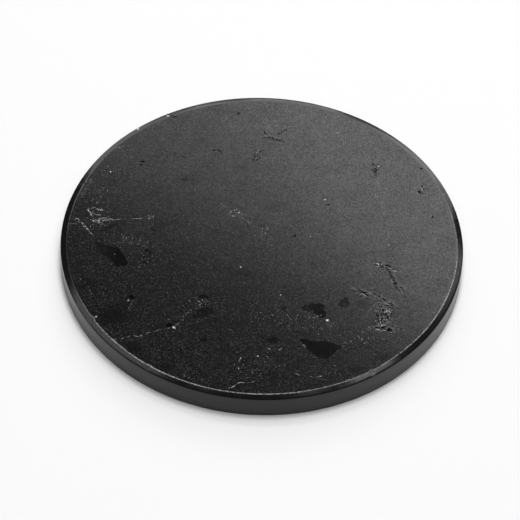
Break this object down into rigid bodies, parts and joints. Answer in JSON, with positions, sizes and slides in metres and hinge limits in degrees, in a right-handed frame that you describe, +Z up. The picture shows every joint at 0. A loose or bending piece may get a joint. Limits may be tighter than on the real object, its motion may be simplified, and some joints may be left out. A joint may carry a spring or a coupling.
{
  "type": "flat massage stone",
  "caption": "Flat round disc of honed black stone with an eased, polished rim, for hot or cold stone massage or as a small rest plate.",
  "frame": {"origin": "centre of the flat underside, on the surface that the disc lies on", "axes": "+Z up, through both flat faces, along the disc's axis of rotation; +X and +Y lie in the underside"},
  "size_m": [0.1, 0.1, 0.0065],
  "materials": {
    "stone": "honed black, with a polished rim"
  },
  "bodies": {
    "root": {"stone_disc": "stone"}
  },
  "joints": []
}
